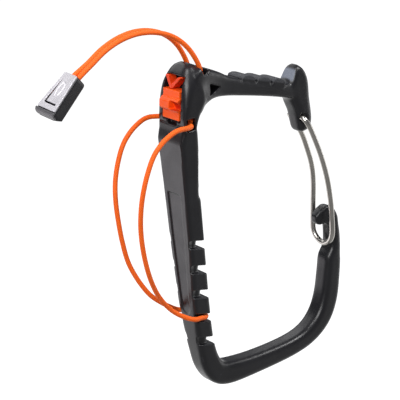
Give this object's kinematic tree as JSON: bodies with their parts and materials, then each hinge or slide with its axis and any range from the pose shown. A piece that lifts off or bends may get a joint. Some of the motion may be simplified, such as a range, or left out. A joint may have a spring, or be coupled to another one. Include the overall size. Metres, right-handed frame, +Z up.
{
  "type": "harness tool holder",
  "caption": "Belt-mounted tool holder: notched C-shaped frame with a sprung wire gate, an elastic retention cord with a pull tab, and a sliding cord lock.",
  "frame": {"origin": "on the spine's flat outer face, which lies against the harness belt, on the mid plane, 41 mm below the top of the head", "axes": "+X away from the belt towards the carried tools, +Z up along the spine, Y across the thickness"},
  "size_m": [0.1674, 0.028, 0.194],
  "materials": {
    "moulded_black": "satin glass-filled nylon",
    "moulded_orange": "satin",
    "stainless_wire": "drawn and tumbled",
    "elastic_cord": "braided sheath",
    "tab_cover_metal": "satin"
  },
  "bodies": {
    "holder": {"frame": "moulded_black", "lock_spring": "moulded_orange", "pull_tab_body": "moulded_black", "pull_tab_cover": "tab_cover_metal", "end_knot_front": "elastic_cord", "end_knot_back": "elastic_cord", "belt_loop_cord": "elastic_cord", "pull_cord_front": "elastic_cord", "pull_cord_back": "elastic_cord", "inner_cord_front": "elastic_cord", "inner_cord_back": "elastic_cord"},
    "gate": {"wire_gate": "stainless_wire"},
    "cord_lock": {"lock_slider": "moulded_orange"}
  },
  "joints": [
    {"name": "gate_pivot", "type": "hinge", "parent": "holder", "child": "gate", "pos_m": [0.0794, 0, -0.0057], "axis": [0, 1, 0], "range_deg": [0, 40], "stiffness_Nm_per_rad": 0.35, "springref_deg": -14.32},
    {"name": "lock_slide", "type": "slide", "parent": "holder", "child": "cord_lock", "axis": [0.1478, 0, 0.989], "range_m": [0, 0.003], "stiffness_N_per_m": 800, "springref_m": -0.0015, "deforming": ["lock_spring"]}
  ]
}
